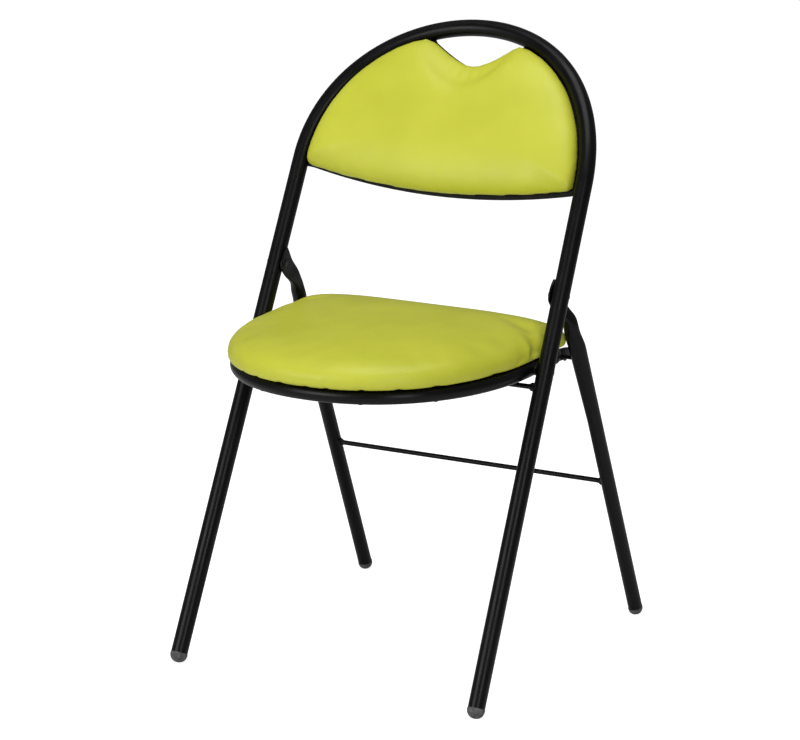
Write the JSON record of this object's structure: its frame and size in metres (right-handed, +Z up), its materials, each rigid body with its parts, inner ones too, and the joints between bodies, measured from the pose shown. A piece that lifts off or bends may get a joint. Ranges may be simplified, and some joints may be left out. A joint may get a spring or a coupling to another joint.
{
  "type": "folding chair",
  "caption": "Folding chair of black steel tube: a one-piece leg and arched back hoop, a padded half-moon back with a hand-hold, and a tip-up round padded seat.",
  "frame": {"origin": "on the floor, under the middle of the box around the whole chair when it stands open", "axes": "+Z up, +X to the right as seen from the front, -Y towards the front, so the seated person looks along -Y"},
  "size_m": [0.4648, 0.5109, 0.7928],
  "materials": {
    "black_enamel": "satin black stoved enamel",
    "tip_rubber": "matt dark grey rubber",
    "black_board": "black-stained plywood",
    "lime_vinyl": "smooth lime-green vinyl with a fine grain",
    "zinc_steel": "zinc-plated steel"
  },
  "bodies": {
    "main_frame": {"front_frame": "black_enamel", "stop_rod": "black_enamel", "front_foot_left": "tip_rubber", "front_foot_right": "tip_rubber", "leg_rivet_left": "black_enamel", "leg_rivet_right": "black_enamel", "seat_rivet_left": "black_enamel", "seat_rivet_right": "black_enamel", "seat_spacer_left": "zinc_steel", "seat_spacer_right": "zinc_steel", "back_lug_upper_left": "black_enamel", "back_lug_upper_right": "black_enamel", "back_lug_lower_left": "black_enamel", "back_lug_lower_right": "black_enamel", "back_board": "black_board", "back_pad": "lime_vinyl", "back_screws": "zinc_steel"},
    "rear_legs": {"rear_leg_left": "black_enamel", "rear_leg_right": "black_enamel", "rear_cross_rod": "black_enamel", "rear_foot_left": "tip_rubber", "rear_foot_right": "tip_rubber"},
    "seat": {"seat_ring": "black_enamel", "seat_board": "black_board", "seat_cushion": "lime_vinyl", "seat_screws": "zinc_steel", "slide_pin_left": "zinc_steel", "slide_pin_right": "zinc_steel"}
  },
  "joints": [
    {"name": "seat_tip", "type": "hinge", "parent": "main_frame", "child": "seat", "pos_m": [0, -0.00915, 0.396], "axis": [-1, 0, 0], "range_deg": [0, 92]},
    {"name": "legs_fold", "type": "hinge", "parent": "main_frame", "child": "rear_legs", "pos_m": [0, 0.03569, 0.484], "axis": [-1, 0, 0], "range_deg": [0, 44.3]}
  ],
  "couplings": [
    {"joint": "legs_fold", "follows": "seat_tip", "ratio": 0.48149}
  ]
}
